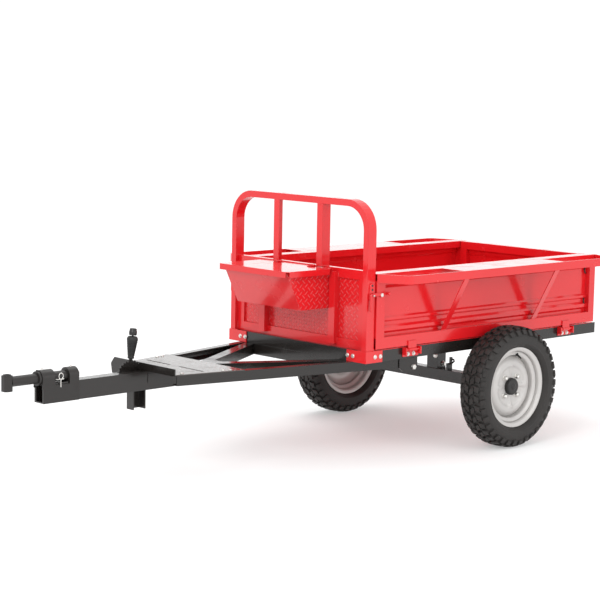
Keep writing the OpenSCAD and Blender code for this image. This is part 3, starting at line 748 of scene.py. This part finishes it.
def build_bolts():
    """Washers and domed hex heads where the CAD has plain bolts, and rounded pegs for the catches."""
    bm = bmesh.new()
    middle = Vector([(a + b) / 2 for a, b in zip(*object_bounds())])
    for low, high in islands("frame_bolts"):
        size = [h - l for l, h in zip(low, high)]
        centre = Vector([(l + h) / 2 for l, h in zip(low, high)])
        slim = max(size) > 0.0165 and sorted(size)[1] < 0.010
        if slim:
            axis = size.index(max(size))
            out = Vector([(1.0 if centre[k] > middle[k] else -1.0) if k == axis else 0.0 for k in range(3)])
            base = centre - out * size[axis] / 2
            r = sorted(size)[0] / 2
            turned(bm, base, out, [(0, r), (size[axis] - 0.002, r), (size[axis] - 0.0006, r * 0.8),
                                   (size[axis], r * 0.5)], 20)
            continue
        axis = size.index(min(size)) if min(size) < 0.012 else 1
        out = Vector([0.0, 0.0, 0.0])
        out[axis] = 1.0 if axis == 2 or centre[axis] > (middle[axis] if axis == 1 else 0.0) else -1.0
        if axis == 0:
            out[0] = 1.0
        tall = size[axis]
        r = max(size[k] for k in range(3) if k != axis) / 2
        base = centre - out * tall / 2
        turned(bm, base, out, [(0, r * 1.30), (0.0014, r * 1.30), (0.0018, r * 1.22)], 28)
        turned(bm, base + out * 0.0012, out, [(0, r * 0.98), (tall - 0.0026, r * 0.98),
                                              (tall - 0.0012, r * 0.86)], 6)
        turned(bm, base + out * (tall - 0.0014), out, [(0, r * 0.80), (0.0012, r * 0.66), (0.0016, 0.0)], 20)
    keep("bolt_heads", bm, "Cart zinc plate", "frame", 30.0, ("frame_bolts",))


def build_grip():
    """Ribbed rubber grip and its release button, both along the lever."""
    settings = bpy.context.scene.cart_detail
    low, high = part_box("brake_grip")
    pivot = Vector(frame_joint("brake_lever_pivot")["pos_m"])
    lean = -Vector(frame_joint("brake_button_press")["axis"])
    y = (low[1] + high[1]) / 2
    foot = Vector((pivot[0], y, pivot[2])) + lean * ((low[2] + 0.0018 - pivot[2]) / lean[2])
    tall = (high[2] - low[2]) / lean[2] - 0.0036
    profile = [(0.0, 0.0115), (0.002, 0.0138), (0.005, 0.0146), (0.009, 0.0132)]
    ribs = settings.grip_ribs
    for k in range(ribs):
        a = 0.012 + (tall - 0.034) * k / ribs
        b = (tall - 0.034) / ribs
        r = 0.0136 + 0.0085 * k / ribs
        profile += [(a, r), (a + b * 0.18, r + 0.0014), (a + b * 0.62, r + 0.0018),
                    (a + b * 0.80, r + 0.0004)]
    profile += [(tall - 0.020, 0.0228), (tall - 0.013, 0.0240), (tall - 0.006, 0.0222),
                (tall - 0.001, 0.0180), (tall, 0.0150)]
    bm = bmesh.new()
    turned(bm, foot, lean, profile, 40)
    keep("grip_sleeve", bm, "Cart grip rubber", "lever", 40.0, ("brake_grip",))
    low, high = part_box("brake_button")
    top = (high[2] - pivot[2]) / lean[2]
    bm = bmesh.new()
    axis_foot = Vector((pivot[0], y, pivot[2]))
    turned(bm, axis_foot + lean * (top - 0.078), lean,
           [(0, 0.0038), (0.0475, 0.0038), (0.0477, 0.0150), (0.050, 0.0168), (0.060, 0.0172),
            (0.066, 0.0164), (0.068, 0.0150),
            (0.074, 0.0148), (0.0765, 0.0130), (0.0775, 0.008), (0.0777, 0.0)], 36)
    keep("release_button", bm, "Cart black plastic", "button", 40.0, ("brake_button",))


def build_welds():
    """Weld beads where tubes and plates meet."""
    r = bpy.context.scene.cart_detail.bead_radius
    dice = random.Random(7)
    strut_feet = ((0.345, 0.381), (-0.299, -0.262))

    def batch(name, finish, body, lines):
        bm = bmesh.new()
        for start, end in lines:
            bead(bm, start, end, r, dice)
        keep(name, bm, finish, body, 60.0)

    for side, tag in SIDES:
        plate_low, plate_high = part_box(f"gate_panel_{tag}")
        skin_y = side * GATE_FACE_Y
        x0, x1, z0, z1 = plate_low[0], plate_high[0], plate_low[2], plate_high[2]
        lines = []
        for x in (x0, x1):
            for z in (z0, z1):
                lines.append(((x, skin_y - side * 0.001, z), (x, skin_y - side * 0.014, z)))
        for low_s, high_s in strut_feet:
            a, b = low_s + AXLE_X, high_s + AXLE_X
            lines.append(((a, skin_y + side * 0.001, z0 + 0.001), (b, skin_y + side * 0.001, z0 + 0.001)))
            lines.append(((a + 0.003, skin_y + side * 0.001, z0 + 0.004),
                          (a + 0.003, skin_y + side * 0.002, z0 + 0.030)))
        batch(f"gate_welds_{tag}", "Cart red enamel", f"gate_{tag}", lines)
    hoop_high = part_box("guard_hoop")[1]
    bars_low, bars_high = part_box("guard_bars")
    board_low, board_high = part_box("headboard_frame")
    sup_low, sup_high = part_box("toolbox_supports")
    front = hoop_high[0]
    lines = []
    for side in (1, -1):
        inner_y, outer_y = bars_high[1] - 0.035, bars_high[1]
        beside = side * (outer_y + 0.0005)
        for z in (bars_low[2] + 0.001, bars_high[2] - 0.001):
            lines.append(((front - 0.001, side * inner_y, z), (front - 0.001, side * outer_y, z)))
            lines.append(((front - 0.004, beside, z), (front - 0.045, beside, z)))
        inner = hoop_high[1] - 0.030
        for z in (board_low[2] + 0.020, board_low[2] + 0.17, board_high[2] - 0.045):
            lines.append(((board_high[0] + 0.0005, side * inner, z - 0.018),
                          (board_high[0] + 0.0005, side * inner, z + 0.018)))
        for z in (sup_low[2] + 0.006, sup_low[2] + 0.16, sup_high[2] - 0.030):
            lines.append(((sup_low[0] + 0.001, side * (sup_high[1] + 0.0005), z),
                          (sup_low[0] + 0.001, side * (sup_high[1] + 0.0005), z + 0.022)))
        foot_low, foot_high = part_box("foot_plates")
        lines.append(((foot_high[0] - 0.004, side * (foot_high[1] - 0.003), foot_high[2] + 0.0005),
                      (foot_high[0] - 0.004, side * (foot_high[1] - 0.055), foot_high[2] + 0.0005)))
        lines.append(((foot_high[0] - 0.008, side * (foot_high[1] - 0.004), foot_high[2] + 0.0005),
                      (foot_low[0] + 0.055, side * (foot_high[1] - 0.004), foot_high[2] + 0.0005)))
    batch("guard_welds", "Cart red enamel", "frame", lines)
    beam_low, beam_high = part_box("drawbar_beam")
    stand_low, stand_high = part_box("stand_foot")
    toe_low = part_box("toe_board")[0]
    house_low, house_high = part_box("hitch_housing")
    axle_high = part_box("axle_beam")[1]
    post_low, post_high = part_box("axle_stands")
    lines = [((stand_low[0], stand_low[1], beam_low[2] - 0.001),
              (stand_high[0], stand_low[1], beam_low[2] - 0.001))]
    for side in (1, -1):
        y = side * (beam_high[1] + 0.001)
        lines.append(((toe_low[0] - 0.001, y, beam_low[2] + 0.03),
                      (toe_low[0] - 0.001, y, beam_high[2] - 0.004)))
        lines.append(((house_low[0], side * (beam_high[1] + 0.0015), beam_low[2] + 0.004),
                      (house_low[0], side * (beam_high[1] + 0.0015), beam_high[2] - 0.002)))
        for y in (side * 0.060, side * 0.127):
            lines.append(((post_low[0], y, axle_high[2] - 0.0620), (post_high[0], y, axle_high[2] - 0.0620)))
        lines.append(((post_high[0], side * 0.062, axle_high[2] - 0.0620),
                      (post_high[0], side * 0.125, axle_high[2] - 0.0620)))
        lines.append(((post_high[0] + 0.0005, side * 0.062, post_high[2] - 0.001),
                      (post_high[0] + 0.0005, side * 0.125, post_high[2] - 0.001)))
    batch("chassis_welds", "Cart black enamel", "frame", lines)


def tag_plate(bm, top, bottom, radii, near, far):
    """A flat plate between two planes of y, with a round end about each of two points (x, z)."""
    outline = []
    for (x, z), radius, start in ((top, radii[0], 0.0), (bottom, radii[1], math.pi)):
        for k in range(13):
            turn = start + math.pi * k / 12
            outline.append((x + radius * math.cos(turn), z + radius * math.sin(turn)))
    edge = (far - near) * 0.2
    middle = Vector(((top[0] + bottom[0]) / 2, (top[1] + bottom[1]) / 2))
    rings = []
    for y, inset in ((near, 0.0), (far - edge, 0.0), (far, 0.0006)):
        rings.append([(x - inset * (1 if x > middle[0] else -1), y, z - inset * (1 if z > middle[1] else -1))
                      for x, z in outline])
    skin(bm, rings, cap=True)


def build_catch_plates():
    """Keeper plates on the hoop, each with two flat black discs as painted shade for its two holes, and the
    hanging handles of the front catches.
    """
    hoop_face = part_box("guard_hoop")[1][1]
    for side, tag in SIDES:
        pin = Vector(frame_joint(f"front_catch_{tag}")["pos_m"])
        keeper = pin[0] + 0.052
        bm = bmesh.new()
        tag_plate(bm, (keeper, pin[2] + 0.040), (keeper, pin[2] - 0.010), (0.0150, 0.0150),
                  side * hoop_face, side * (hoop_face + 0.005))
        keep(f"catch_keeper_{tag}", bm, "Cart red enamel", "frame", 40.0)
        # painted shade: flat black discs stand just proud of each keeper plate where its two holes would show dark
        bm = bmesh.new()
        for rise in (0.026, 0.044):
            turned(bm, (keeper, side * (hoop_face + 0.004), pin[2] + rise), (0, side, 0),
                   [(0, 0.0052), (0.0013, 0.0052), (0.0014, 0.0)], 24)
        keep(f"keeper_hole_shade_discs_{tag}", bm, "Cart black casting", "frame", 40.0)
        low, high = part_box(f"latch_f{tag}")
        near, far = (low[1], high[1]) if side > 0 else (high[1], low[1])
        bm = bmesh.new()
        tag_plate(bm, (pin[0] + 0.063, pin[2] + 0.002), (pin[0] + 0.065, pin[2] - 0.066), (0.0072, 0.0052),
                  near, far)
        keep(f"catch_handle_{tag}", bm, "Cart red enamel", f"catch_front_{tag}", 40.0)


def build_gate_fittings():
    """Rope hooks in the recess and rivets on the catches."""
    for side, tag in SIDES:
        low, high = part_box(f"gate_panel_{tag}")
        bm = bmesh.new()
        x, y = low[0] + 0.004, side * HOOK_Y
        for z in (low[2] + 0.055, high[2] - 0.045):
            path = [(x, y, z + 0.014), (x + 0.010, y + side * 0.004, z + 0.012),
                    (x + 0.017, y + side * 0.008, z + 0.004), (x + 0.017, y + side * 0.009, z - 0.006),
                    (x + 0.010, y + side * 0.008, z - 0.013), (x + 0.003, y + side * 0.004, z - 0.014)]
            rod(bm, path, 0.0032, 10)
        keep(f"rope_hooks_{tag}", bm, "Cart black enamel", f"gate_{tag}", 50.0)
    for side, tag in SIDES:
        pin = Vector(frame_joint(f"front_catch_{tag}")["pos_m"])
        bm = bmesh.new()
        turned(bm, Vector((pin[0], side * CATCH_FACE_Y, pin[2])), (0, side, 0),
               [(0, 0.0085), (0.0016, 0.0085), (0.0017, 0.0062), (0.0040, 0.0060), (0.0052, 0.0045),
                (0.0056, 0.0)], 24)
        keep(f"front_catch_rivet_{tag}", bm, "Cart zinc plate", f"gate_{tag}")
        bm = bmesh.new()
        plate_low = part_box(f"latch_f{tag}")[0]
        end = Vector((plate_low[0] + 0.008, side * CATCH_FACE_Y, pin[2] + 0.005))
        turned(bm, end, (0, side, 0), [(0, 0.0045), (0.007, 0.0045), (0.0075, 0.0080), (0.013, 0.0085),
                                       (0.0155, 0.0070), (0.0162, 0.0)], 24)
        keep(f"front_catch_knob_{tag}", bm, "Cart red enamel", f"catch_front_{tag}")
        pin = Vector(frame_joint(f"rear_catch_{tag}")["pos_m"])
        bm = bmesh.new()
        turned(bm, Vector((pin[0] - 0.0030, pin[1], pin[2])), (-1, 0, 0),
               [(0, 0.0085), (0.0016, 0.0085), (0.0017, 0.0062), (0.0034, 0.0060), (0.0044, 0.0045),
                (0.0047, 0.0)], 24)
        keep(f"rear_catch_rivet_{tag}", bm, "Cart zinc plate", "tailgate")


def build_toolbox_fittings():
    """Screws in the hinge leaves and in the lid over them."""
    leaf_low, leaf_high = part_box("toolbox_hinges")
    bm = bmesh.new()
    for side in (1, -1):
        for x in (leaf_low[0] + 0.005, leaf_low[0] + 0.013):
            for y in (side * 0.0975, side * 0.1225):
                turned(bm, (x, y, leaf_low[2] + 0.0024), (0, 0, 1),
                       [(0, 0.0032), (0.0010, 0.0030), (0.0016, 0.0018), (0.0017, 0.0)], 16)
    keep("hinge_screws", bm, "Cart red enamel", "frame", 40.0)
    bm = bmesh.new()
    lid_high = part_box("toolbox_lid")[1]
    for side in (1, -1):
        for x in (leaf_high[0] + 0.008, leaf_high[0] + 0.016):
            turned(bm, (x, side * 0.110, lid_high[2] - 0.0072), (0, 0, 1),
                   [(0, 0.0034), (0.0010, 0.0032), (0.0016, 0.0020), (0.0017, 0.0)], 16)
    keep("lid_screws", bm, "Cart red enamel", "lid", 40.0)


def build_hitch_fittings():
    """A spring clip and grease nipples on the swivel housing."""
    low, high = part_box("hitch_housing")
    clip_low, clip_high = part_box("swivel_clip")
    axis_z = frame_joint("hitch_swivel")["pos_m"][2]
    bm = bmesh.new()
    x = (clip_low[0] + clip_high[0]) / 2
    y = clip_high[1] - 0.002
    z = axis_z + 0.005
    loop = []
    for k in range(26):
        a = math.radians(-70 + 320 * k / 25)
        loop.append((x + 0.0105 * math.cos(a), y, z + 0.0125 * math.sin(a)))
    rod(bm, loop, 0.0017, 10)
    rod(bm, [(x - 0.014, y, z - 0.012), (x - 0.004, y, z - 0.013), (x + 0.006, y - 0.001, z - 0.0115),
             (x + 0.018, y - 0.001, z - 0.013), (x + 0.026, y, z - 0.010)], 0.0017, 10)
    rod(bm, [(x, high[1] + 0.0015, low[2] + 0.062), (x, high[1] + 0.0015, z - 0.020), (x, y, z - 0.012)],
        0.0022, 10)
    keep("spring_clip", bm, "Cart zinc plate", "frame", 50.0, ("swivel_clip",))
    bm = bmesh.new()
    for x in (low[0] + 0.020, high[0] - 0.018):
        turned(bm, (x, 0, high[2] - 0.001), (0, 0, 1),
               [(0, 0.0055), (0.003, 0.0055), (0.0035, 0.0035), (0.007, 0.0035), (0.0085, 0.0022)], 6)
    keep("grease_nipples", bm, "Cart zinc plate", "frame", 40.0)


def build_axle_fittings():
    """Bolts on the axle posts, cable guides on the axle and the quadrant's bolt."""
    post_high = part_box("axle_stands")[1]
    quad_low, quad_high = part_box("brake_quadrant")
    head = [(0, 0.0125), (0.0020, 0.0125), (0.0024, 0.0105), (0.0080, 0.0105), (0.0092, 0.0088),
            (0.0098, 0.0)]
    bm = bmesh.new()
    for side in (1, -1):
        turned(bm, (post_high[0], side * (post_high[1] - 0.012), AXLE_Z + 0.092), (1, 0, 0), head, 18)
        turned(bm, (AXLE_X - 0.012, side * post_high[1], AXLE_Z + 0.050), (0, side, 0), head, 18)
    turned(bm, (quad_low[0] + 0.024, quad_high[1] - 0.0002, quad_low[2] + 0.032), (0, 1, 0),
           [(k * 0.6, r * 0.6) for k, r in head], 18)
    keep("axle_bolts", bm, "Cart zinc plate", "frame", 40.0)
    bm = bmesh.new()
    for side in (1, -1):
        y = side * 0.187
        loop = [(AXLE_X + 0.020, y, AXLE_Z + 0.055), (AXLE_X + 0.012, y + side * 0.016, AXLE_Z + 0.062),
                (AXLE_X - 0.004, y + side * 0.018, AXLE_Z + 0.070),
                (AXLE_X - 0.014, y + side * 0.006, AXLE_Z + 0.076),
                (AXLE_X - 0.006, y - side * 0.002, AXLE_Z + 0.080)]
        rod(bm, loop, 0.004, 10)
    keep("cable_guides", bm, "Cart black enamel", "frame", 50.0)


# ---------------------------------------------------------------- operators


class CART_OT_paint_nodes(bpy.types.Operator):
    """Gives every CAD node the finish of its material slot"""

    bl_idname = "cart.paint_nodes"
    bl_label = "Paint the frame"

    def execute(self, context):
        made = materials()
        for part in frame["record"]["subparts"]:
            node = part["node"]
            finish = made[NODE_FINISH.get(node, SLOT_FINISH[part["material_slot"]])]
            mesh = NODES[node].data
            mesh.materials.clear()
            mesh.materials.append(finish)
        return {"FINISHED"}


class CART_OT_wheels(bpy.types.Operator):
    """Builds the block tread tyres, pressed rims, valves, hub caps and nuts"""

    bl_idname = "cart.wheels"
    bl_label = "Wheels"

    def execute(self, context):
        for side, tag in SIDES:
            build_tyre(side, tag)
            build_rim(side, tag)
            build_wheel_fittings(side, tag)
        return {"FINISHED"}


class CART_OT_bolts(bpy.types.Operator):
    """Puts washers and hex heads on the frame's bolts"""

    bl_idname = "cart.bolts"
    bl_label = "Bolts"

    def execute(self, context):
        build_bolts()
        return {"FINISHED"}


class CART_OT_brake_grip(bpy.types.Operator):
    """Moulds the brake lever's grip and button"""

    bl_idname = "cart.brake_grip"
    bl_label = "Brake grip"

    def execute(self, context):
        build_grip()
        return {"FINISHED"}


class CART_OT_welds(bpy.types.Operator):
    """Lays weld beads on gates, backrest, chassis and drawbar"""

    bl_idname = "cart.welds"
    bl_label = "Weld beads"

    def execute(self, context):
        build_welds()
        return {"FINISHED"}


class CART_OT_fittings(bpy.types.Operator):
    """Adds hooks, catch plates, rivets, hinge screws, the spring clip, grease nipples and axle fittings"""

    bl_idname = "cart.fittings"
    bl_label = "Small fittings"

    def execute(self, context):
        build_gate_fittings()
        build_catch_plates()
        build_toolbox_fittings()
        build_hitch_fittings()
        build_axle_fittings()
        return {"FINISHED"}


class CART_OT_studio(bpy.types.Operator):
    """Sets up the pale floor, the soft lights and the camera"""

    bl_idname = "cart.studio"
    bl_label = "Studio"

    def execute(self, context):
        settings = context.scene.cart_studio
        world = bpy.data.worlds.new("Studio room")
        world.use_nodes = True
        sky = world.node_tree.nodes["Background"]
        sky.inputs["Color"].default_value = (1.0, 1.0, 1.0, 1.0)
        sky.inputs["Strength"].default_value = settings.sky
        context.scene.world = world
        bm = bmesh.new()
        block(bm, (-40, -40, -0.05), (40, 40, 0.0))
        mesh = bpy.data.meshes.new("studio_floor")
        bm.to_mesh(mesh)
        bm.free()
        floor = bpy.data.objects.new("studio_floor", mesh)
        context.scene.collection.objects.link(floor)
        mesh.materials.append(backdrop_paper("Studio paper", tuple(settings.floor)))
        floor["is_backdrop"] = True
        for name, place, target, size, share in (
            ("key_light", (5.0, 2.2, 3.6), (0.2, 0.0, 0.6), 2.6, 1.0),
            ("side_light", (-1.6, 6.5, 2.6), (-0.8, 0.4, 0.5), 3.2, 0.55),
            ("top_light", (-0.5, -1.0, 4.6), (-0.3, 0.0, 0.6), 3.0, 0.45)):
            lamp = bpy.data.lights.new(name, "AREA")
            lamp.shape = "DISK"
            lamp.size = size
            lamp.energy = settings.key * share
            holder = bpy.data.objects.new(name, lamp)
            holder.location = place
            holder.rotation_euler = (Vector(target) - Vector(place)).to_track_quat("-Z", "Y").to_euler()
            context.scene.collection.objects.link(holder)
        strip = bpy.data.lights.new("back_strip", "AREA")
        strip.shape = "RECTANGLE"
        strip.size, strip.size_y = 14.0, 2.6
        strip.energy = settings.strip
        holder = bpy.data.objects.new("back_strip", strip)
        holder.location = (-6.4, -7.6, 1.5)
        holder.rotation_euler = (Vector((0.0, 0.0, 0.9)) - Vector((-6.4, -7.6, 1.5))).to_track_quat("-Z",
            "Y").to_euler()
        context.scene.collection.objects.link(holder)
        camera = bpy.data.cameras.new("product_camera")
        camera.sensor_width = 36.0
        camera.lens = 107.39
        camera.shift_x = 0.0230
        camera.shift_y = 0.0027
        camera.clip_end = 200.0
        holder = bpy.data.objects.new("product_camera", camera)
        yaw, pitch, roll = -2.3214, -0.1277, 0.0177
        look = Vector((math.cos(yaw) * math.cos(pitch), math.sin(yaw) * math.cos(pitch), math.sin(pitch)))
        level = Vector((math.sin(yaw), -math.cos(yaw), 0.0))
        over = level.cross(look)
        right = level * math.cos(roll) + over * math.sin(roll)
        up = over * math.cos(roll) - level * math.sin(roll)
        turn = Matrix((right, up, -look)).transposed().to_4x4()
        holder.matrix_world = Matrix.Translation(Vector((AXLE_X + 6.4008, 5.8782, 1.7247))) @ turn
        context.scene.collection.objects.link(holder)
        context.scene.camera = holder
        context.scene.view_settings.view_transform = "Standard"
        return {"FINISHED"}


OPERATORS = (CART_OT_paint_nodes, CART_OT_wheels, CART_OT_bolts, CART_OT_brake_grip, CART_OT_welds,
             CART_OT_fittings, CART_OT_studio)
SETTINGS = (("cart_paint", CartPaintSettings), ("cart_tyre", CartTyreSettings),
            ("cart_detail", CartDetailSettings), ("cart_studio", CartStudioSettings))


class CART_PT_panel(bpy.types.Panel):
    """Lists the cart's pieces and settings"""

    bl_label = "Tow Behind Cart"
    bl_idname = "CART_PT_panel"
    bl_space_type = "VIEW_3D"
    bl_region_type = "UI"
    bl_category = "Cart"

    def draw(self, context):
        for name, group in SETTINGS:
            box = self.layout.box()
            for key in group.__annotations__:
                box.prop(getattr(context.scene, name), key)
        for operator in OPERATORS:
            self.layout.operator(operator.bl_idname)


def register():
    for name, group in SETTINGS:
        bpy.utils.register_class(group)
        setattr(bpy.types.Scene, name, bpy.props.PointerProperty(type=group))
    for operator in OPERATORS:
        bpy.utils.register_class(operator)
    bpy.utils.register_class(CART_PT_panel)


def unregister():
    bpy.utils.unregister_class(CART_PT_panel)
    for operator in reversed(OPERATORS):
        bpy.utils.unregister_class(operator)
    for name, group in reversed(SETTINGS):
        delattr(bpy.types.Scene, name)
        bpy.utils.unregister_class(group)


def main():
    register()
    for operator in OPERATORS:
        family, name = operator.bl_idname.split(".")
        getattr(getattr(bpy.ops, family), name)()


if __name__ == "__main__":
    main()
